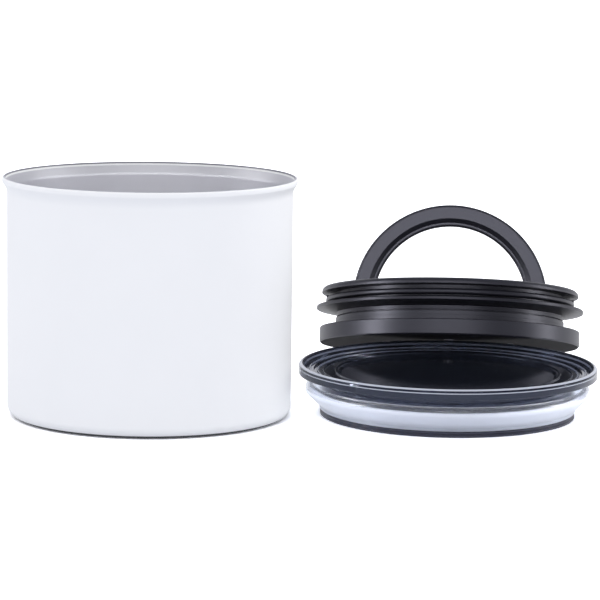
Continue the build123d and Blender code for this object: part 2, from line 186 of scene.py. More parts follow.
def noise(tree: Tree, place: Socket, size_mm: float, detail: float, roughness: float = 0.5) -> Socket:
    """Noise between 0 and 1 with grains of a real size, laid out on a place."""
    grain = {"Scale": 1 / (size_mm * MM), "Detail": detail, "Roughness": roughness}
    return add_node(tree, "TexNoise", grain, {"Vector": place}).outputs["Fac"]


@dataclass(frozen=True)
class Finish:
    """What every finish shares: a Principled surface with fine relief from real grain sizes.

    Fields named _mm are real sizes. shade_hex is the second colour of a faint cloudiness.
    """

    name: str
    base_hex: str
    shade_hex: str
    roughness: float
    metallic: float = 0.0
    ior: float = 1.5
    specular: float = 0.5
    specular_hex: str = "#ffffff"
    transmission: float = 0.0
    subsurface: float = 0.0
    subsurface_mm: float = 1.0
    grain_mm: float = 0.4
    grain_depth_mm: float = 0.004
    grain_detail: float = 2.0
    cloud_mm: float = 30.0
    cloud_detail: float = 3.0
    cloud_roughness: float = 0.55
    roughness_spread: float = 0.04

    def build(self) -> bpy.types.Material:
        """Make the material.

        Returns:
            A node material named after the finish.
        """
        material = bpy.data.materials.new(self.name)
        tree = bare_tree(material)
        place = add_node(tree, "TexCoord").outputs["Object"]
        grain = self.grain(tree, place)
        cloud = noise(tree, place, self.cloud_mm, self.cloud_detail, self.cloud_roughness)
        tints = {"data_type": "RGBA", MIX_FROM: linear(self.base_hex), MIX_TO: linear(self.shade_hex)}
        colour = add_node(tree, "Mix", tints, {0: cloud}).outputs[MIX_OUT]
        spread = self.roughness_spread
        span = {"To Min": self.roughness - spread, "To Max": self.roughness + spread}
        gloss = add_node(tree, "MapRange", span, {"Value": grain}).outputs["Result"]
        depth = {"Strength": 1.0, "Distance": self.grain_depth_mm * MM}
        relief = add_node(tree, "Bump", depth, {"Height": grain}).outputs["Normal"]
        surface = add_node(
            tree,
            "BsdfPrincipled",
            {
                "Metallic": self.metallic,
                "IOR": self.ior,
                "Specular IOR Level": self.specular,
                "Specular Tint": linear(self.specular_hex),
                "Transmission Weight": self.transmission,
                "Subsurface Weight": self.subsurface,
                "Subsurface Scale": self.subsurface_mm * MM,
            },
            {"Base Color": colour, "Roughness": gloss, "Normal": relief},
        )
        self.adjust(tree, surface)
        add_node(tree, "OutputMaterial", {}, {"Surface": surface.outputs["BSDF"]})
        return material

    def grain(self, tree: Tree, place: Socket) -> Socket:
        """Fine relief of the surface, as a height between 0 and 1."""
        return noise(tree, place, self.grain_mm, self.grain_detail)

    def adjust(self, tree: Tree, surface: bpy.types.Node) -> None:
        """Set more on the Principled node, for a finish that needs it."""


@dataclass(frozen=True)
class SpunFinish(Finish):
    """Metal that was brushed while it turned: fine lines that run round the piece."""

    line_mm: float = 0.35
    line_detail: float = 3.0
    line_roughness: float = 0.6
    turn_share: float = 0.02
    anisotropy: float = 0.5

    def grain(self, tree: Tree, place: Socket) -> Socket:
        """Lines across radius and height, drawn far longer round the piece.

        Args:
            tree: node tree of the material.
            place: position on the piece.

        Returns:
            A height between 0 and 1.
        """
        parts = add_node(tree, "SeparateXYZ", {}, {0: place}).outputs
        flat = add_node(tree, "CombineXYZ", {}, {0: parts[0], 1: parts[1]}).outputs[0]
        radius = add_node(tree, "VectorMath", {"operation": "LENGTH"}, {0: flat}).outputs["Value"]
        angle = add_node(tree, "Math", {"operation": "ARCTAN2"}, {0: parts[1], 1: parts[0]}).outputs[0]
        slow = {"operation": "MULTIPLY", 1: self.turn_share}
        along = add_node(tree, "Math", slow, {0: angle}).outputs[0]
        lines = add_node(tree, "CombineXYZ", {}, {0: radius, 1: along, 2: parts[2]}).outputs[0]
        return noise(tree, lines, self.line_mm, self.line_detail, self.line_roughness)

    def adjust(self, tree: Tree, surface: bpy.types.Node) -> None:
        """Stretch highlights across the brushed lines.

        Args:
            tree: node tree of the material.
            surface: the Principled node.
        """
        surface.inputs["Anisotropic"].default_value = self.anisotropy
        tangent = add_node(tree, "Tangent", {"direction_type": "RADIAL", "axis": "Z"})
        tree.links.new(tangent.outputs["Tangent"], surface.inputs["Tangent"])


# Polyester powder coat, sprayed and baked: matt white with a faint orange peel
POWDER_COAT = Finish(
    "powder_coated_steel", "#f4f4f3", "#f1f1f0", roughness=0.55, specular=0.35, grain_mm=0.9,
    grain_depth_mm=0.006,
)
# Stainless steel, brushed while it spun: satin grey with soft bands of light round the bore
BRUSHED_STEEL = SpunFinish(
    "spun_brushed_stainless_steel", "#dcdce1", "#d2d2d8", roughness=0.42, metallic=1.0,
    grain_depth_mm=0.003, roughness_spread=0.07,
)
# Trimmed steel edge where the coat ends: a thin darker line at the mouth
RAW_EDGE = Finish(
    "trimmed_steel_edge", "#a0a0a6", "#92929a", roughness=0.45, metallic=1.0, grain_mm=0.3,
    grain_depth_mm=0.002,
)
# Steel at the foot, painted dark: a painted contact shadow, a thin dark line where the can stands
FOOT_STEEL = replace(
    RAW_EDGE, name="bare_foot_steel", base_hex="#4a4c52", shade_hex="#42444a", roughness=0.6
)
# Polycarbonate, moulded and polished, with a smoke tint: dark where thick; the bright lines at its crown
# are painted highlights, below
SMOKE_PC = Finish(
    "smoke_polycarbonate", "#30343f", "#2b2f3a", roughness=0.09, ior=1.585, transmission=0.7,
    specular_hex="#d2ddff", grain_mm=6.0, grain_depth_mm=0.002, roughness_spread=0.02,
)
# Painted highlight: a pale copy of the same polycarbonate laid on the crown's edges, with the light painted
# into its colour
SMOKE_EDGE = Finish(
    "smoke_polycarbonate_edge", "#d3d8e4", "#c9cedb", roughness=0.12, ior=1.585, transmission=0.25,
    grain_mm=3.0, grain_depth_mm=0.002, roughness_spread=0.03,
)
# Painted highlight on the moulded ring lines: a grey copy of the same polycarbonate gives thin grey circles
# round the dish
SMOKE_RING = replace(
    SMOKE_EDGE, name="smoke_polycarbonate_ring", base_hex="#787e8e", shade_hex="#707686", transmission=0.2
)
# Silicone rubber, moulded unpigmented: milky, lets soft light through
SILICONE = Finish(
    "moulded_translucent_silicone", "#dde2ec", "#d3d9e4", roughness=0.32, ior=1.41, transmission=0.5,
    grain_mm=1.5, grain_depth_mm=0.006,
)
# The same silicone on the lip, painted nearly white: the light it gets from both sides is painted into its
# colour
MILKY_SILICONE = replace(
    SILICONE, name="moulded_milky_silicone", base_hex="#f2f5fc", shade_hex="#eaeef7", roughness=0.3,
    transmission=0.3,
)
# The same silicone where it is thin and clear: the dark wall behind it shows through
CLEAR_SILICONE = replace(
    SILICONE, name="moulded_clear_silicone", base_hex="#eef0f6", shade_hex="#e6e9f0", roughness=0.14,
    transmission=0.95, grain_depth_mm=0.004,
)
# Black silicone rubber, moulded: deep black with a soft sheen along its lips
BLACK_RUBBER = Finish(
    "moulded_black_silicone", "#131319", "#17171e", roughness=0.38, ior=1.45, specular_hex="#ebebff",
    grain_mm=0.5, grain_depth_mm=0.003,
)
# Carbon-filled elastomer of the foot ring: charcoal, greyer than the lid's seals
GREY_RUBBER = replace(
    BLACK_RUBBER, name="moulded_charcoal_elastomer", base_hex="#363843", shade_hex="#3c3e49", roughness=0.42
)
# ABS, moulded in an eroded tool: satin black with broad soft highlights
BLACK_ABS = Finish(
    "moulded_satin_abs", "#17171d", "#1b1b22", roughness=0.4, ior=1.53, specular_hex="#ececff",
    grain_mm=0.45, grain_depth_mm=0.004,
)
# ABS from a coarsely sparked tool: dull black that throws back little of the table
COARSE_ABS = Finish(
    "moulded_coarse_abs", "#101015", "#131319", roughness=0.8, ior=1.53, specular=0.15, grain_mm=0.3,
    grain_depth_mm=0.02,
)
# Acetal, moulded: waxy dark grey bearing plastic
ACETAL = Finish(
    "moulded_acetal", "#35353a", "#3b3b40", roughness=0.35, ior=1.48, subsurface=0.1, grain_mm=0.8,
    grain_depth_mm=0.003,
)
# Stainless steel, turned and drawn: bright small parts
TURNED_STEEL = Finish(
    "turned_stainless_steel", "#cacacd", "#bfbfc4", roughness=0.24, metallic=1.0, grain_mm=0.25,
    grain_depth_mm=0.002,
)
# Stainless steel with a rough, dull finish, and a darker grey that is painted shade for parts under the
# lid: no sharp glint
PICKLED_STEEL = replace(
    TURNED_STEEL, name="pickled_stainless_steel", base_hex="#6e6e74", shade_hex="#66666c", roughness=0.65
)


@cache
def material_of(finish: Finish) -> bpy.types.Material:
    """Material for a finish, made once and then shared."""
    return finish.build()


def show(thing: Piece) -> None:
    """Put an object in the scene."""
    bpy.context.scene.collection.objects.link(thing)


def corner_arc(before: Vector, corner: Vector, after: Vector, radius: float) -> list[Vector]:
    """Round one corner of a flat outline.

    Args:
        before: point before the corner.
        corner: the corner itself.
        after: point after the corner.
        radius: radius of the round.

    Returns:
        Points along the arc, from its start to its end.
    """
    back = (before - corner).normalized()
    ahead = (after - corner).normalized()
    half = back.angle(ahead) / 2
    reach = radius / math.tan(half)
    centre = corner + (back + ahead).normalized() * radius / math.sin(half)
    start = corner + back * reach - centre
    end = corner + ahead * reach - centre
    turn = start.angle_signed(end)
    steps = max(2, math.ceil(abs(turn) / math.radians(ARC_STEP_DEG)))
    spun = [Matrix.Rotation(-turn * step / steps, 2) @ start for step in range(steps + 1)]
    return [centre + arm for arm in spun]


def rounded_outline(corners: Sequence[Corner]) -> list[Point]:
    """Closed outline with its corners rounded and its straight runs held flat.

    Args:
        corners: (x, y) or (x, y, radius) in millimetres, in order round the outline.

    Returns:
        Outline points in millimetres.
    """
    spots = [Vector(corner[:2]) for corner in corners]
    rounds = [corner[2] if len(corner) > 2 else 0.0 for corner in corners]
    arcs: list[list[Vector]] = []
    for index, spot in enumerate(spots):
        if rounds[index] > 0:
            after = spots[(index + 1) % len(spots)]
            arcs.append(corner_arc(spots[index - 1], spot, after, rounds[index]))
        else:
            arcs.append([spot])
    points: list[Point] = []
    for index, arc in enumerate(arcs):
        points += [(spot.x, spot.y) for spot in arc]
        following = arcs[(index + 1) % len(arcs)][0]
        run = following - arc[-1]
        if run.length > 4 * EDGE_HOLD:
            step = run.normalized() * EDGE_HOLD
            points.append(tuple(arc[-1] + step))
            points.append(tuple(following - step))
    return [spot for index, spot in enumerate(points) if math.dist(spot, points[index - 1]) > SAME_POINT]


def new_piece(name: str, shape: Shape, place: Matrix) -> Piece:
    """Turn a shape in millimetres into a smooth-shaded object in the row frame.

    Args:
        name: name of the piece.
        shape: its mesh, in its own frame; it is freed here.
        place: its place, in metres.

    Returns:
        The object, with its place in its mesh.
    """
    bmesh.ops.recalc_face_normals(shape, faces=shape.faces)
    mesh = bpy.data.meshes.new(name)
    shape.to_mesh(mesh)
    shape.free()
    mesh.transform(place @ Matrix.Scale(MM, 4))
    mesh.polygons.foreach_set("use_smooth", [True] * len(mesh.polygons))
    mesh.set_sharp_from_angle(angle=math.radians(SHARP_DEG))
    piece = bpy.data.objects.new(name, mesh)
    show(piece)
    return piece


def turned_shape(
    outline: Sequence[Point],
    segments: int = FULL_SEGMENTS,
    sweep: float = FULL_TURN_DEG,
    paint: Paint | None = None,
) -> Shape:
    """Revolve a closed outline about Z.

    Args:
        outline: (radius, height) points.
        segments: faces round the whole sweep.
        sweep: angle swept, in degrees; under a full turn the two ends are capped.
        paint: material number for an edge of the outline, from its middle.

    Returns:
        The shape, starting on the X axis.
    """
    shape = bmesh.new()
    full = sweep >= FULL_TURN_DEG
    count = segments if full else segments + 1
    hubs = {i: shape.verts.new((0, 0, z)) for i, (r, z) in enumerate(outline) if r < AXIS_RADIUS}
    columns = []
    for step in range(count):
        angle = math.radians(sweep) * step / segments
        cosine, sine = math.cos(angle), math.sin(angle)
        column = []
        for index, (radius, height) in enumerate(outline):
            spot = (radius * cosine, radius * sine, height)
            column.append(hubs[index] if index in hubs else shape.verts.new(spot))
        columns.append(column)
    for step in range(segments):
        here = columns[step]
        there = columns[(step + 1) % count]
        for index in range(len(outline)):
            after = (index + 1) % len(outline)
            ring = dict.fromkeys((here[index], here[after], there[after], there[index]))
            if len(ring) < 3:
                continue
            face = shape.faces.new(tuple(ring))
            if paint:
                middle = [(a + b) / 2 for a, b in zip(outline[index], outline[after])]
                face.material_index = paint(*middle)
    if not full:
        shape.faces.new(columns[0])
        shape.faces.new(columns[-1])
    return shape


def rod(radius: float, low: float, high: float) -> Shape:
    """Round rod along Z."""
    return turned_shape([(0, low), (radius, low), (radius, high), (0, high)], ROD_SEGMENTS)


def shaft_ends() -> list[Matrix]:
    """Frames on the handle's shaft with Z outward, left and right, in the lid's millimetres."""
    pivot = Matrix.Translation((0, 0, SHAFT_HEIGHT))
    return [pivot @ Matrix.Rotation(hand * QUARTER_TURN, 4, "Y") for hand in (-1, 1)]


def prism_shape(outline: Sequence[Point], low: float, high: float) -> Shape:
    """Extrude a closed outline along Z.

    Args:
        outline: (x, y) points.
        low: lower end.
        high: upper end.

    Returns:
        The shape.
    """
    shape = bmesh.new()
    floor = [shape.verts.new((x, y, low)) for x, y in outline]
    roof = [shape.verts.new((x, y, high)) for x, y in outline]
    shape.faces.new(floor)
    shape.faces.new(roof)
    for index in range(len(outline)):
        after = (index + 1) % len(outline)
        shape.faces.new((floor[index], floor[after], roof[after], roof[index]))
    return shape


def combine(piece: Piece, tool: Piece, operation: str) -> None:
    """Join a tool to a piece, or cut it away, and drop the tool.

    Args:
        piece: the piece that is changed.
        tool: the other object, which is removed.
        operation: UNION or DIFFERENCE.
    """
    change = piece.modifiers.new("combine", "BOOLEAN")
    change.operation = operation
    change.solver = "EXACT"
    change.object = tool
    bpy.context.view_layer.update()
    graph = bpy.context.evaluated_depsgraph_get()
    mesh = bpy.data.meshes.new_from_object(piece.evaluated_get(graph))
    piece.modifiers.clear()
    old = piece.data
    piece.data = mesh
    mesh.name = piece.name
    bpy.data.meshes.remove(old)
    bpy.data.objects.remove(tool)
    mesh.set_sharp_from_angle(angle=math.radians(SHARP_DEG))


@dataclass
class SubAssembly:
    """What every sub-assembly shares: its place, its body and how a piece is handed over."""

    place: Matrix
    body: Body

    def turned(self, name: str, corners: Sequence[Corner], paint: Paint | None = None) -> Piece:
        """Revolve (radius, height) or (radius, height, round) corners about this sub-assembly's axis."""
        return new_piece(name, turned_shape(rounded_outline(corners), paint=paint), self.place)

    def merge(self, piece: Piece, shape: Shape, spot: Matrix, operation: str) -> None:
        """UNION or DIFFERENCE of a piece and a shape placed in this sub-assembly's millimetres."""
        shape.transform(spot)
        combine(piece, new_piece("tool", shape, self.place), operation)

    def dress(self, piece: Piece, node: str, slot: Slot, *looks: Finish) -> None:
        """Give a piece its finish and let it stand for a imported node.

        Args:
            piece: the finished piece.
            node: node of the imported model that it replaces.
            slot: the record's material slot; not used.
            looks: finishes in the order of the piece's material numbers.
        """
        for look in looks:
            piece.data.materials.append(material_of(look))
        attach(piece, self.body.value)
        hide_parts(node)
        faces = len(piece.data.polygons)
        LOG.info("%s stands for %s on %s, %d faces", piece.name, node, self.body.value, faces)

    def keep(self, node: str, look: Finish) -> None:
        """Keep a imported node's own shape and give it a finish.

        Args:
            node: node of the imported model.
            look: its finish.
        """
        mesh = frame["nodes"][node].data
        mesh.materials.clear()
        mesh.materials.append(material_of(look))
        LOG.info("%s keeps its packed shape, finished as %s", node, look.name)


@dataclass
class Canister(SubAssembly):
    """Drawn steel canister: straight wall, rounded foot and flared, rolled lip. Millimetres."""

    radius: float = 63.8
    height: float = 107.2
    wall: float = 0.6
    foot_round: float = 5.0
    # Height of the dark band at the foot, a painted contact shadow
    foot_bare: float = 1.6
    lip_flare: float = 2.1
    lip_drop: float = 5.4
    lip_roll: float = 0.9
    lip_hem: float = 1.3
    edge_line: float = 0.7
    coat_wrap: float = 1.5
    bead_radius: float = 44.0
    bead_width: float = 5.0
    bead_rise: float = 1.2
    bead_middle: float = 1.14
    mouth_margin: float = 0.1
    flare_margin: float = 1.0
    floor_margin: float = 0.05

    def build(self) -> None:
        """Model the shell in one piece: coat outside, raw edge line, bare steel inside and a painted
        contact shadow at the foot.
        """
        shell = self.turned(CAN, self.outline(), self.paint)
        looks = (POWDER_COAT, BRUSHED_STEEL, RAW_EDGE, FOOT_STEEL)
        self.dress(shell, "canister_body", Slot.POWDER_WHITE, *looks)

    def outline(self) -> list[Corner]:
        """Half section of the shell.

        Returns:
            Corners in radius and height.
        """
        bore = self.radius - self.wall
        lip = self.radius + self.lip_flare
        flare = self.height - self.lip_drop
        bead_in = self.bead_radius - self.bead_width / 2
        bead_out = self.bead_radius + self.bead_width / 2
        half = self.wall / 2
        return [
            (0, 0),
            (bead_in, 0, self.wall),
            (bead_in + self.bead_rise, self.bead_rise, self.wall),
            (bead_out - self.bead_rise, self.bead_rise, self.wall),
            (bead_out, 0, self.wall),
            (self.radius, 0, self.foot_round),
            (self.radius, flare, self.lip_drop),
            (lip, self.height - self.lip_roll - self.lip_hem, self.lip_hem),
            (lip, self.height, self.lip_roll),
            (lip - self.lip_hem, self.height, self.lip_hem / 4),
            self.mouth_point(self.edge_line),
            self.mouth_point(self.coat_wrap),
            (bore, flare, self.lip_drop),
            (bore, self.wall, self.foot_round - self.wall),
            (bead_out + half, self.wall, half),
            (bead_out - self.bead_rise + half, self.bead_rise + self.wall, half),
            (bead_in + self.bead_rise - half, self.bead_rise + self.wall, half),
            (bead_in - half, self.wall, half),
            (0, self.wall),
        ]

    def paint(self, radius: float, height: float) -> int:
        """Choose the finish of one band of the shell.

        Args:
            radius: radius at the band's middle.
            height: height at the band's middle.

        Returns:
            0 for the coat, 1 for bare steel, 2 for the edge line, 3 for the painted contact shadow at the
            foot.
        """
        inside = radius < self.mouth_point(self.height - height)[0] + self.mouth_margin
        if inside and height > self.height - self.edge_line:
            return 2
        if inside and height > self.height - self.coat_wrap:
            return 0
        inner_wall = radius < self.radius - self.wall / 2 and height > self.foot_round
        flare_start = self.height - self.lip_drop - self.flare_margin
        flare_inside = height > flare_start and radius < self.flare_middle(height)
        foot = self.wall - self.floor_margin < height <= self.foot_round
        floor_inside = foot and height > self.floor_middle(radius)
        if inner_wall or flare_inside or floor_inside:
            return 1
        # Painted shadow: a dark steel band round the foot stands in for the contact shadow
        return 3 if height < self.foot_bare and radius > self.radius - self.foot_round else 0

    def mouth_point(self, drop: float) -> Point:
        """Point on the inside of the flare.

        Args:
            drop: distance below the rim.

        Returns:
            Its radius and height.
        """
        share = drop / self.lip_drop
        mouth = self.radius + self.lip_flare - self.lip_hem
        return mouth - share * (mouth - self.radius + self.wall), self.height - drop

    def flare_middle(self, height: float) -> float:
        """Radius half way through the flared lip.

        Args:
            height: height of the place.

        Returns:
            Its radius.
        """
        share = max((height - self.height + self.lip_drop) / self.lip_drop, 0)
        half = self.wall / 2
        return self.radius - half + share * (self.lip_flare - self.lip_hem / 2 + half)

    def floor_middle(self, radius: float) -> float:
        """Limit between the coat below and the bare steel above, in the base and foot.

        Args:
            radius: radius of the place.

        Returns:
            Its height.
        """
        if abs(radius - self.bead_radius) < self.bead_width / 2 + self.wall:
            return self.bead_middle
        flat_end = self.radius - self.foot_round
        if radius <= flat_end:
            return self.wall / 2
        round_middle = self.foot_round - self.wall / 2
        reach = min(radius - flat_end, round_middle)
        return self.foot_round - math.sqrt(round_middle**2 - reach**2)


@dataclass
class OuterCover(SubAssembly):
    """Clear outer cover with its plug seal and base ring. Millimetres."""

    radius: float = 67.5
    height: float = 22.9
    wall: float = 1.6
    skirt_wall: float = 1.3
    skirt_height: float = 4.6
    crown_round: float = 1.4
    crown_width: float = 1.9
    slope_width: float = 1.9
    slope_drop: float = 2.9
    ledge_drop: float = 3.7
    dish_depth: float = 4.8
    dish_radius: float = 48.0
    dish_wall_run: float = 1.2
    edge_round: float = 0.5
    bead_size: float = 0.5
    step_share: float = 0.2
    # Share of the crown's round that is painted as a highlight
    bright_share: float = 0.4
    # The next two pairs give bands painted as highlights: one on the crown's face, one on the slope inside
    # it
    edge_line: Point = (1.55, 1.95)
    slope_line: Point = (0.35, 0.6)
    bead_places: tuple[Point, ...] = ((62.29, 2.9), (58.68, 3.7), (56.16, 3.7), (50.67, 3.7))
    plug_radius: float = 56.8
    plug_wall: float = 1.6
    ring_height: float = 2.6
    ring_floor: float = 0.8
    ring_wall: float = 0.8
    ring_groove: float = 0.45
    seal_start: float = 2.8
    seal_hub: float = 1.1
    seal_height: float = 7.8
    seal_root_rise: float = 1.4
    seal_flare_rise: float = 7.4
    seal_lip_rise: float = 11.4
    seal_curl_rise: float = 8.9
    seal_curl: float = 2.2
    seal_curl_reach: float = 3.08
    seal_radius: float = 64.3
    seal_lip: float = 0.9
    seal_round: float = 2.4
    seal_root_thick: float = 1.5

    def build(self) -> None:
        """Model the cap, the plug seal and the base ring."""
        cap = self.turned("cover_cap_clear", self.cap_outline(), self.cap_paint)
        self.dress(cap, "cover_cap", Slot.SMOKE_CLEAR, SMOKE_PC, SMOKE_EDGE, SMOKE_RING)
        seal = self.turned(SEAL, self.seal_outline(), self.seal_paint)
        self.dress(seal, "cover_seal", Slot.SILICONE, SILICONE, CLEAR_SILICONE, MILKY_SILICONE)
        ring = self.turned("cover_foot_ring", self.ring_outline())
        self.dress(ring, "cover_base_ring", Slot.ELASTOMER, GREY_RUBBER)

    def beads(self) -> list[Corner]:
        """Fine moulded ring lines on the ledges of the dished top.

        Returns:
            Four corners for each bead, from the crown towards the middle.
        """
        size = self.bead_size
        half = size / 2
        corners: list[Corner] = []
        for radius, drop in self.bead_places:
            base = self.height - drop
            corners.append((radius + size, base))
            corners += [(radius + side * half, base + size, half / 2) for side in (1, -1)]
            corners.append((radius - size, base))
        return corners

    def cap_outline(self) -> list[Corner]:
        """Half section of the cap.

        Returns:
            Corners in radius and height.
        """
        edge = self.edge_round
        rim = self.skirt_wall / 4
        top = self.height
        skirt_bore = self.radius - self.skirt_wall
        skirt_end = top - self.skirt_height
        crown_in = self.radius - self.crown_width
        slope_in = crown_in - self.slope_width
        slope_low = top - self.slope_drop
        ledge = top - self.ledge_drop
        floor_top = top - self.dish_depth
        step_in = slope_in - self.step_share * (slope_in - self.dish_radius)
        plug_in = self.plug_radius - self.plug_wall
        beads = self.beads()
        line_out, line_in = (
            (crown_in - share * self.slope_width, top - share * self.slope_drop)
            for share in self.slope_line
        )
        return [
            (0, floor_top - self.wall),
            (plug_in, floor_top - self.wall, edge),
            (plug_in, self.ring_floor),
            (self.plug_radius, self.ring_floor),
            (self.plug_radius, ledge - self.wall, edge),
            (slope_in + edge, ledge - self.wall, edge),
            (crown_in, top - self.crown_width, edge / 2),
            (skirt_bore, top - self.crown_width, edge / 4),
            (skirt_bore, skirt_end, rim),
            (self.radius, skirt_end, rim),
            (self.radius, top - self.edge_line[1]),
            (self.radius, top - self.edge_line[0]),
            (self.radius, top, self.crown_round),
            (crown_in, top, edge),
            line_out,
            line_in,
            (slope_in, slope_low, edge / 4),
            *beads[:4],
            (step_in, slope_low, edge / 4),
            (step_in, ledge, edge / 4),
            *beads[4:],
            (self.dish_radius + self.dish_wall_run, ledge, edge),
            (self.dish_radius, floor_top, edge),
            (0, floor_top),
        ]

    def cap_paint(self, radius: float, height: float) -> int:
        """Choose the finish of one band of the cap.

        Args:
            radius: radius at the band's middle.
            height: height at the band's middle.

        Returns:
            0 for the clear wall, 1 for the painted highlights on the crown, 2 for the painted highlights on
            the ring lines.
        """
        drop = self.height - height
        # Painted highlights: the crown's top and a band on its face take the pale copy
        if radius > self.radius - self.crown_round:
            on_crown = drop < self.bright_share * self.crown_round
            return 1 if on_crown or self.edge_line[0] < drop < self.edge_line[1] else 0
        # Painted highlights: a band on the slope and the tops of the outer beads take the grey copy
        along = (self.radius - self.crown_width - radius) / self.slope_width
        on_slope = self.slope_line[0] < along < self.slope_line[1] and drop < self.slope_drop
        on_bead = any(abs(radius - place) < self.bead_size for place, _ in self.bead_places[:2])
        return 2 if on_slope or (on_bead and drop < self.ledge_drop) else 0

    def seal_paint(self, radius: float, height: float) -> int:
        """Finish of one band of the seal: 0 for the hub, 1 for the clear curl, 2 for the flare, painted
        lighter as lit silicone.
        """
        if height > self.seal_start + self.seal_curl_rise:
            return 1
        # Painted light: the flare takes a whiter copy of the hub's silicone
        return 2 if height > self.seal_start + self.seal_root_rise else 0

    def seal_outline(self) -> list[Corner]:
        """Half section of the soft plug seal: a hub and a thin lip that opens like a bowl.

        Returns:
            Corners in radius and height.
        """
        hub = self.plug_radius + self.seal_hub
        root = self.seal_start + self.seal_root_rise
        widest = self.seal_start + self.seal_flare_rise
        lip_top = self.seal_start + self.seal_lip_rise
        hub_top = self.seal_start + self.seal_height
        outside = self.seal_radius
        lip = self.seal_lip
        inside = outside - lip
        edge = lip / 4
        curl_in = outside - self.seal_curl_reach
        return [
            (self.plug_radius, self.seal_start),
            (hub, self.seal_start, edge),
            (hub, root, edge),
            (outside, widest, self.seal_round),
            (outside, self.seal_start + self.seal_curl_rise),
            (outside, lip_top, self.seal_curl),
            (curl_in, lip_top, edge),
            (curl_in, lip_top - lip, edge),
            (inside, lip_top - lip, self.seal_curl - lip),
            (inside, widest + lip / 2, self.seal_round - lip),
            (hub, root + self.seal_root_thick * lip, edge),
            (hub, hub_top, edge),
            (self.plug_radius, hub_top),
        ]

    def ring_outline(self) -> list[Corner]:
        """Half section of the grooved base ring.

        Returns:
            Corners in radius and height.
        """
        outer = self.plug_radius + self.ring_wall
        plug_in = self.plug_radius - self.plug_wall
        inner = plug_in - self.ring_wall
        middle = self.ring_height / 2
        edge = self.ring_wall / 4
        return [
            (inner, 0, edge),
            (outer, 0, edge),
            (outer, middle - self.ring_groove, edge / 2),
            (outer - self.ring_groove, middle, edge / 2),
            (outer, middle + self.ring_groove, edge / 2),
            (outer, self.ring_height, edge),
            (self.plug_radius, self.ring_height),
            (self.plug_radius, self.ring_floor),
            (plug_in, self.ring_floor),
            (plug_in, self.ring_height),
            (inner, self.ring_height, edge),
        ]


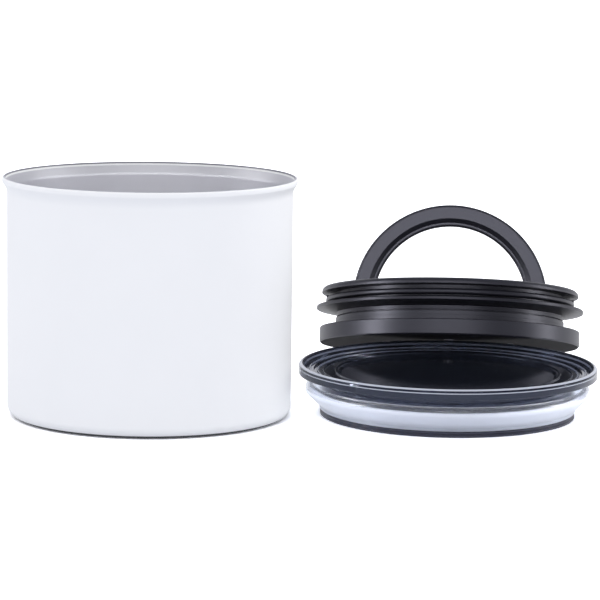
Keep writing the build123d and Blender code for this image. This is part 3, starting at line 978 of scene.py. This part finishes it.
@dataclass
class InnerLid(SubAssembly):
    """Press-down lid: sliding band, two wiper seals, flange and handle recess. Millimetres."""

    height: float = 27.0
    band_radius: float = 62.9
    band_height: float = 7.6
    band_bevel: float = 0.7
    band_wall: float = 2.2
    base_floor: float = 2.4
    neck_radius: float = 55.3
    neck_top: float = 10.1
    core_radius: float = 52.3
    core_wall: float = 1.6
    neck_ring_height: float = 2.1
    lower_hub: float = 5.2
    spacer_height: float = 1.6
    spacer_radius: float = 53.8
    root_radius: float = 54.8
    groove_height: float = 0.5
    groove_depth: float = 1.0
    lower_lip_radius: float = 64.6
    lower_lip_root: float = 2.4
    lower_lip_thick: float = 2.3
    lower_lip_rise: float = 4.1
    lip_edge: float = 1.6
    upper_lip_radius: float = 60.2
    upper_bulb: float = 1.45
    upper_web: float = 1.3
    upper_gap: float = 2.0
    flange_radius: float = 62.2
    flange_thick: float = 2.9
    flange_round: float = 2.2
    recess_outer: float = 50.6
    recess_wall: float = 1.6
    recess_top: float = 15.0
    recess_floor: float = 2.0
    head_hole: float = 5.0
    edge_round: float = 0.5
    ear_half_width: float = 5.4
    ear_face: float = 47.7
    ear_flat: float = 0.5
    ear_inset: float = 0.6
    bush_radius: float = 3.04
    scoop_radius: float = 14.0
    scoop_depth: float = 1.7
    scoop_faces: tuple[int, int] = (96, 64)
    well_radius: float = 14.0
    well_wall: float = 1.8
    well_roof_low: float = 7.0
    well_roof_high: float = 8.6
    seat_hole: float = 6.9
    screw_count: int = 6
    screw_circle: float = 34.0
    screw_sink_radius: float = 2.45
    screw_sink_depth: float = 1.5
    screw_hole_radius: float = 1.3
    boss_radius: float = 3.15
    boss_overlap: float = 0.5
    bevel_round: float = 0.15
    small_round: float = 0.1
    root_round: float = 0.2
    bulb_share: float = 0.85
    neck_share: float = 0.15
    bulb_neck_round: float = 0.3

    def build(self) -> None:
        """Model the lid's mouldings and seals."""
        half_edge = self.edge_round / 2
        clamp_top = self.neck_top + self.neck_ring_height
        spacer_low = clamp_top + self.lower_hub
        spacer_top = spacer_low + self.spacer_height
        self.dress(self.base(), "lid_base", Slot.BLACK_PLASTIC, BLACK_ABS, COARSE_ABS)
        clamp = self.ring(
            "lid_clamp_ring", self.neck_radius, (self.neck_top, clamp_top), (self.small_round, half_edge)
        )
        self.dress(clamp, "lid_neck_ring", Slot.BLACK_PLASTIC, BLACK_ABS)
        self.dress(self.lower_seal(clamp_top), "lower_wiper_seal", Slot.ELASTOMER, BLACK_RUBBER)
        spacer = self.ring(
            "lid_seal_spacer", self.spacer_radius, (spacer_low, spacer_top), (self.root_round,) * 2
        )
        self.dress(spacer, "seal_spacer", Slot.BLACK_PLASTIC, BLACK_ABS)
        self.dress(self.upper_seal(spacer_top), "upper_wiper_seal", Slot.ELASTOMER, BLACK_RUBBER)
        self.dress(self.top_plate(), "lid_top_plate", Slot.BLACK_PLASTIC, BLACK_ABS)

    def screw_places(self) -> list[Matrix]:
        """Places of the clamping screws.

        Returns:
            One frame for each screw, in millimetres.
        """
        step = 2 * math.pi / self.screw_count
        arm = Matrix.Translation((self.screw_circle, 0, 0))
        return [Matrix.Rotation(step * (index + 0.5), 4, "Z") @ arm for index in range(self.screw_count)]

    def base(self) -> Piece:
        """Lower moulding with its screw sinks.

        Returns:
            The piece.
        """
        edge = self.edge_round
        core_bore = self.core_radius - self.core_wall
        shoulder = self.band_height - self.band_wall
        band_in = self.band_radius - self.band_wall
        well_out = self.well_radius + self.well_wall
        flange_low = self.height - self.flange_thick
        piece = self.turned(
            "lid_base_moulding",
            [
                (self.seat_hole, self.well_roof_low),
                (self.well_radius, self.well_roof_low, edge),
                (self.well_radius, 0, edge / 2),
                (self.band_radius - self.band_bevel, 0, self.bevel_round),
                (self.band_radius, self.band_bevel, self.bevel_round),
                (self.band_radius, self.band_height, edge),
                (self.neck_radius, self.band_height, edge / 2),
                (self.neck_radius, self.neck_top),
                (self.core_radius, self.neck_top),
                (self.core_radius, flange_low),
                (core_bore, flange_low),
                (core_bore, shoulder, edge),
                (band_in, shoulder, edge),
                (band_in, self.base_floor, edge),
                (well_out, self.base_floor, edge),
                (well_out, self.well_roof_high, edge),
                (self.seat_hole, self.well_roof_high),
            ],
            lambda radius, height: 1 if height < self.band_bevel / 4 else 0,
        )
        for spot in self.screw_places():
            for radius, top in (
                (self.screw_sink_radius, self.screw_sink_depth),
                (self.screw_hole_radius, self.base_floor + OVERCUT),
            ):
                self.merge(piece, rod(radius, -OVERCUT, top), spot, "DIFFERENCE")
        return piece

    def ring(self, name: str, outer: float, span: Point, rounds: Point) -> Piece:
        """Plain ring over the core; span and rounds are for its lower and upper edge."""
        corners = [(outer, height, edge) for height, edge in zip(span, rounds)]
        return self.turned(name, [(self.core_radius, span[0]), *corners, (self.core_radius, span[1])])

    def lower_seal(self, start: float) -> Piece:
        """Lower wiper seal: grooved foot and a flat lip with a thick edge.

        Args:
            start: height of its foot.

        Returns:
            The piece.
        """
        core, root, tip = self.core_radius, self.root_radius, self.lower_lip_radius
        tip_low = start + self.lower_lip_rise
        root_low = start + self.lower_lip_root
        groove_in = root - self.groove_depth
        groove_top = start + self.groove_height
        return self.turned(
            "lid_lower_wiper",
            [
                (core, start),
                (groove_in, start),
                (groove_in, groove_top),
                (root, groove_top, self.small_round),
                (root, root_low, self.edge_round / 2),
                (tip, tip_low, self.lip_edge / 4),
                (tip, tip_low + self.lip_edge, self.lip_edge / 4),
                (root, root_low + self.lower_lip_thick, self.small_round),
                (root, start + self.lower_hub),
                (core, start + self.lower_hub),
            ],
        )

    def upper_seal(self, low: float) -> Piece:
        """Upper wiper seal with its round bulb edge.

        Args:
            low: height of its foot.

        Returns:
            The piece.
        """
        core, root, tip = self.core_radius, self.root_radius, self.upper_lip_radius
        high = self.height - self.flange_thick
        bulb_high = high - self.upper_gap
        bulb_low = bulb_high - 2 * self.upper_bulb
        web_low = bulb_low + self.upper_bulb - self.upper_web / 2
        web_high = web_low + self.upper_web
        bulb = self.upper_bulb * self.bulb_share
        neck = tip - 2 * self.upper_bulb + self.upper_bulb * self.neck_share
        neck_round = bulb * self.bulb_neck_round
        return self.turned(
            "lid_upper_wiper",
            [
                (core, low),
                (root, low, self.root_round),
                (root, web_low, self.small_round),
                (neck, web_low, self.small_round),
                (neck, bulb_low, neck_round),
                (tip, bulb_low, bulb),
                (tip, bulb_high, bulb),
                (neck, bulb_high, neck_round),
                (neck, web_high, self.small_round),
                (root, web_high, self.root_round),
                (root, high),
                (core, high),
            ],
        )

    def top_plate(self) -> Piece:
        """Flange and recess with ears, bosses, bush bores and finger scoop.

        Returns:
            The piece.
        """
        underside = self.recess_top - self.recess_floor
        flange_low = self.height - self.flange_thick
        recess_in = self.recess_outer - self.recess_wall
        brim = self.flange_round / 2
        piece = self.turned(
            "lid_top_moulding",
            [
                (self.head_hole, underside),
                (self.recess_outer, underside, self.edge_round),
                (self.recess_outer, flange_low),
                (self.flange_radius, flange_low, self.edge_round / 2),
                (self.flange_radius, self.height, self.flange_round),
                (recess_in, self.height, brim),
                (recess_in, self.recess_top, brim),
                (self.head_hole, self.recess_top, self.root_round),
            ],
        )
        for spot in self.screw_places():
            boss = rod(self.boss_radius, self.base_floor, underside + self.boss_overlap)
            self.merge(piece, boss, spot, "UNION")
        for hand, shaft in zip((-1, 1), shaft_ends()):
            stand = Matrix(((0, 0, hand, 0), (1, 0, 0, 0), (0, 1, 0, 0), (0, 0, 0, 1)))
            self.merge(piece, self.ear(), stand, "UNION")
            bore = rod(self.bush_radius, self.ear_face - OVERCUT, self.recess_outer + OVERCUT)
            self.merge(piece, bore, shaft, "DIFFERENCE")
        scoop = bmesh.new()
        around, down = self.scoop_faces
        bmesh.ops.create_uvsphere(scoop, u_segments=around, v_segments=down, radius=self.scoop_radius)
        spot = Matrix.Translation((0, recess_in, self.height + self.scoop_radius - self.scoop_depth))
        self.merge(piece, scoop, spot, "DIFFERENCE")
        return piece

    def ear(self) -> Shape:
        """Pivot ear with a round top, which stands on the recess floor against its wall.

        Returns:
            The shape, drawn in X and Y and extruded outward along Z.
        """
        half = self.ear_half_width
        crown = half - self.ear_flat
        top = SHAFT_HEIGHT + half
        foot = self.recess_top - self.recess_floor / 2
        outline = rounded_outline([(-half, foot), (half, foot), (half, top, crown), (-half, top, crown)])
        return prism_shape(outline, self.ear_face, self.recess_outer - self.ear_inset)


@dataclass
class CarryHandle(SubAssembly):
    """Half ring handle with a stepped inner edge and a hub at each end. Millimetres."""

    radius: float = 47.1
    face_width: float = 6.6
    bevel_width: float = 2.0
    lip_width: float = 1.7
    depth: float = 8.0
    lip_depth: float = 4.4
    outer_round: float = 1.3
    inner_round: float = 0.5
    hub_radius: float = 5.2
    hub_length: float = 10.3
    hub_round: float = 0.6
    bore_length: float = 60.0
    arch_segments: int = 160
    hub_segments: int = 96
    shaft_radius: float = 2.0

    def build(self) -> None:
        """Model the handle and dress the shaft and pins that turn with it."""
        self.dress(self.arch(), "handle", Slot.BLACK_PLASTIC, BLACK_ABS)
        for node in ("cam_shaft", "handle_pins", "cam_pin"):
            self.keep(node, TURNED_STEEL)
        self.keep("valve_cam", ACETAL)

    def arch(self) -> Piece:
        """Arch and hubs in one piece, bored for the shaft.

        Returns:
            The piece.
        """
        half = self.depth / 2
        half_lip = self.lip_depth / 2
        face_in = self.radius - self.face_width
        bevel_in = face_in - self.bevel_width
        lip_in = bevel_in - self.lip_width
        lower = [
            (self.radius, -half, self.outer_round),
            (face_in, -half, self.inner_round),
            (bevel_in, -half_lip, self.inner_round),
            (lip_in, -half_lip, self.outer_round),
        ]
        upper = [(radius, -height, edge) for radius, height, edge in lower]
        section = rounded_outline([lower[0], *upper, *lower[:0:-1]])
        shape = turned_shape(section, self.arch_segments, FULL_TURN_DEG / 2)
        shape.transform(Matrix.Translation((0, 0, SHAFT_HEIGHT)) @ Matrix.Rotation(QUARTER_TURN, 4, "X"))
        piece = new_piece(HANDLE, shape, self.place)
        start, end = self.radius - self.hub_length, self.radius
        edge = self.hub_round
        hub = rounded_outline(
            [(0, start), (self.hub_radius, start, edge), (self.hub_radius, end, edge), (0, end)]
        )
        for shaft in shaft_ends():
            self.merge(piece, turned_shape(hub, self.hub_segments), shaft, "UNION")
            self.merge(piece, rod(self.shaft_radius, 0, self.bore_length), shaft, "DIFFERENCE")
        return piece


@dataclass
class ValveGear(SubAssembly):
    """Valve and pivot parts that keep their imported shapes."""

    def build(self) -> None:
        """Give each part its finish."""
        for node in ("valve_stem", "valve_clip", "valve_seat", "valve_spring"):
            self.keep(node, TURNED_STEEL)
        # Painted shade: the screen and screws under the lid take a darker dull steel
        for node in ("valve_screen", "lid_screws"):
            self.keep(node, PICKLED_STEEL)
        for node in ("pivot_bush_left", "pivot_bush_right", "valve_guide"):
            self.keep(node, ACETAL)
        self.keep("valve_gasket", BLACK_RUBBER)
        self.keep("valve_disc", BLACK_ABS)


@dataclass
class Softbox:
    """One soft light of the studio, in metres.

    It lights diffuse surfaces or shows in glossy ones. It may reach one piece only, or spare one.
    """

    name: str
    spot: Spot
    aim: Spot
    size: Point
    radiance: float
    lights_matt: bool
    only: str = ""
    spares: str = ""


@dataclass
class Studio:
    """White sweep, soft lights and the camera of the photograph. Metres and pixels."""

    focal_px: float = 3000.0
    frame_px: float = 600.0
    sensor_mm: float = 36.0
    look_down_deg: float = 8.45
    distance: float = 1.3444
    roll_deg: float = 0.72
    target: Spot = (0.0673, 0.0, 0.0524)
    clip: Point = (0.05, 50.0)
    floor_size: float = 16.0
    floor_cells: int = 8
    floor_hex: str = "#dfe2e8"
    floor_glow: float = 0.4
    floor_gain: float = 0.75
    floor_lift: float = 0.95
    sky_hex: str = "#f8f9ff"
    sky_strength: float = 1.12
    room_strength: float = 0.4
    room_depth: Point = (0.4, 0.95)
    boxes: tuple[Softbox, ...] = (
        Softbox("key_left", (-1.3, -0.45, 0.75), AT_SET, (0.9, 1.3), 0.22, True),
        Softbox("fill_right", (2.4, -0.95, 1.4), AT_SET, (1.9, 2.2), 0.3, True),
        Softbox("strip_left", (-1.22, -0.30, 0.35), AT_LID, (0.22, 0.9), 20.0, False, "", CAN),
        Softbox("strip_right", (1.50, 0.14, 0.3), AT_LID, (0.2, 0.9), 12.0, False, "", CAN),
        Softbox("front_card", (0.05, -1.45, 0.7), AT_LID, (1.6, 0.5), 3.5, False, "", CAN),
        Softbox("mouth_card", (0.0, -1.45, 0.35), AT_MOUTH, (5.0, 0.7), 0.95, False, CAN),
        Softbox("mouth_left", (-1.45, 0.0, 0.3), AT_MOUTH, (1.0, 0.6), 1.2, False, CAN),
        Softbox("mouth_right", (1.45, 0.0, 0.3), AT_MOUTH, (1.0, 0.6), 1.2, False, CAN),
        Softbox("side_card", (1.4, 0.9, 0.4), (0.0, 0.0, 0.05), (0.8, 0.8), 4.0, True, CAN),
        Softbox("handle_card", (0.14, -1.4, 0.15), (0.14, 0.1, 0.08), (1.2, 1.0), 3.0, False, HANDLE),
        Softbox("seal_left", (-1.2, 0.05, 0.3), (0.14, 0.0, 0.01), (0.4, 0.6), 6.5, True, SEAL),
        Softbox("seal_right", (1.5, 0.05, 0.3), (0.14, 0.0, 0.01), (0.4, 0.6), 10.5, True, SEAL),
    )

    def build(self) -> None:
        """Set up the floor, the sky, the lights and the camera."""
        self.floor()
        self.sky()
        for box in self.boxes:
            self.light(box)
        self.camera()
        view = bpy.context.scene.view_settings
        view.view_transform = "Standard"
        LOG.info("studio has a floor, a sky and %d lights", len(self.boxes))

    def floor(self) -> None:
        """Pale floor that reads white to the camera and keeps a soft shadow."""
        shape = bmesh.new()
        cells = self.floor_cells
        bmesh.ops.create_grid(shape, x_segments=cells, y_segments=cells, size=self.floor_size / 2)
        mesh = bpy.data.meshes.new("studio_floor")
        shape.to_mesh(mesh)
        shape.free()
        floor = bpy.data.objects.new("studio_floor", mesh)
        show(floor)
        material = bpy.data.materials.new("white_paper_sweep")
        tree = bare_tree(material)
        plain, dim, lift = (
            add_node(tree, "BsdfDiffuse", {"Color": colour}).outputs[0]
            for colour in (linear(self.floor_hex), grey(self.floor_gain), grey(self.floor_lift))
        )
        glow = add_node(tree, "Emission", {"Strength": self.floor_glow}).outputs[0]
        mirrored = add_node(tree, "AddShader", {}, {0: dim, 1: glow}).outputs[0]
        seen = add_node(tree, "AddShader", {}, {0: lift, 1: lift}).outputs[0]
        add_node(tree, "OutputMaterial", {}, {"Surface": by_ray(tree, plain, mirrored, seen)})
        mesh.materials.append(material)

    def sky(self) -> None:
        """Even dome of light, white to the camera; in reflections the room gets darker in front."""
        world = bpy.data.worlds.new("white_dome")
        bpy.context.scene.world = world
        tree = bare_tree(world)
        tint = linear(self.sky_hex)
        dome = add_node(tree, "Background", {"Color": tint, "Strength": self.sky_strength}).outputs[0]
        white = add_node(tree, "Background", {"Color": grey(1.0), "Strength": 1.0}).outputs[0]
        aim = add_node(tree, "TexCoord").outputs["Generated"]
        depth = add_node(tree, "SeparateXYZ", {}, {0: aim}).outputs[1]
        near, far = self.room_depth
        ramp = {"interpolation_type": "SMOOTHSTEP", 1: near, 2: far, 3: self.room_strength, 4: 1.0}
        fade = add_node(tree, "MapRange", ramp, {0: depth}).outputs[0]
        room = add_node(tree, "Background", {"Color": tint}, {"Strength": fade}).outputs[0]
        add_node(tree, "OutputWorld", {}, {"Surface": by_ray(tree, dome, room, white)})

    def light(self, box: Softbox) -> None:
        """Add one rectangular soft light.

        Args:
            box: its place, aim, size, radiance and reach.
        """
        lamp = bpy.data.lights.new(box.name, "AREA")
        lamp.shape = "RECTANGLE"
        lamp.size, lamp.size_y = box.size
        lamp.energy = box.radiance * math.pi * box.size[0] * box.size[1]
        lamp_object = bpy.data.objects.new(box.name, lamp)
        lamp_object.location = box.spot
        aim = Vector(box.aim) - Vector(box.spot)
        lamp_object.rotation_euler = aim.to_track_quat("-Z", "Y").to_euler()
        lamp_object.visible_diffuse = box.lights_matt
        lamp_object.visible_glossy = not box.lights_matt
        if box.only or box.spares:
            reach = bpy.data.collections.new(f"reach_of_{box.name}")
            reach.objects.link(bpy.data.objects[box.only or box.spares])
            lamp_object.light_linking.receiver_collection = reach
            if box.spares:
                reach.collection_objects[0].light_linking.link_state = "EXCLUDE"
        if box.only or not box.lights_matt:
            lamp.use_shadow = False
            lamp.cycles.use_multiple_importance_sampling = False
        show(lamp_object)

    def camera(self) -> None:
        """Camera at the photograph's viewing angle."""
        data = bpy.data.cameras.new("photo_camera")
        data.sensor_width = self.sensor_mm
        data.lens = self.focal_px / self.frame_px * self.sensor_mm
        data.clip_start, data.clip_end = self.clip
        down = math.radians(self.look_down_deg)
        forward = Vector((0.0, math.cos(down), -math.sin(down)))
        right = Vector((1.0, 0.0, 0.0))
        up = right.cross(forward)
        roll = math.radians(self.roll_deg)
        right_rolled = right * math.cos(roll) + up * math.sin(roll)
        up_rolled = up * math.cos(roll) - right * math.sin(roll)
        axes = Matrix((right_rolled, up_rolled, -forward)).transposed().to_4x4()
        camera = bpy.data.objects.new("photo_camera", data)
        camera.matrix_world = Matrix.Translation(Vector(self.target) - forward * self.distance) @ axes
        show(camera)
        bpy.context.scene.camera = camera


def by_ray(tree: Tree, plain: Socket, mirrored: Socket, direct: Socket) -> Socket:
    """Choose a shader of the floor or the sky by the kind of ray that meets it.

    Args:
        tree: its node tree.
        plain: shader that lights the set.
        mirrored: shader that glossy surfaces see.
        direct: shader that camera and transmission rays see.

    Returns:
        The mixed shader.
    """
    path = add_node(tree, "LightPath").outputs
    straight = {0: path["Is Camera Ray"], 1: path["Is Transmission Ray"]}
    seen = add_node(tree, "Math", {"operation": "MAXIMUM"}, straight).outputs[0]
    unseen = add_node(tree, "MixShader", {}, {0: path["Is Glossy Ray"], 1: plain, 2: mirrored})
    return add_node(tree, "MixShader", {}, {0: seen, 1: unseen.outputs[0], 2: direct}).outputs[0]


def joint(name: str) -> dict[str, object]:
    """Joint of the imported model, found by its name."""
    return next(entry for entry in frame["joints"] if entry["name"] == name)


def lid_place() -> Matrix:
    """Own frame of the inner lid, from the handle's hinge and the valve's slide.

    Returns:
        The frame: X along the shaft, Z along the lid's axis.
    """
    hinge = joint("handle_fold")
    across = -Vector(hinge["axis"]).normalized()
    up = Vector(joint("valve_slide")["axis"]).normalized()
    rear = up.cross(across)
    origin = Vector(hinge["pos_m"]) - up * SHAFT_HEIGHT * MM
    return Matrix.Translation(origin) @ Matrix((across, rear, up)).transposed().to_4x4()


def cover_place() -> Matrix:
    """Own frame of the outer cover, under the middle of its packed cap."""
    low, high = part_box("cover_cap")
    return Matrix.Translation(((low.x + high.x) / 2, (low.y + high.y) / 2, 0))


def main() -> None:
    """Build every sub-assembly in order, then the studio, whose lights name some of the pieces."""
    logging.basicConfig(level=logging.INFO, format="%(message)s")
    lid = lid_place()
    Canister(Matrix.Identity(4), Body.CANISTER).build()
    OuterCover(cover_place(), Body.COVER).build()
    InnerLid(lid, Body.INNER_LID).build()
    CarryHandle(lid, Body.HANDLE).build()
    ValveGear(lid, Body.VALVE).build()
    Studio().build()


if __name__ == "__main__":
    main()
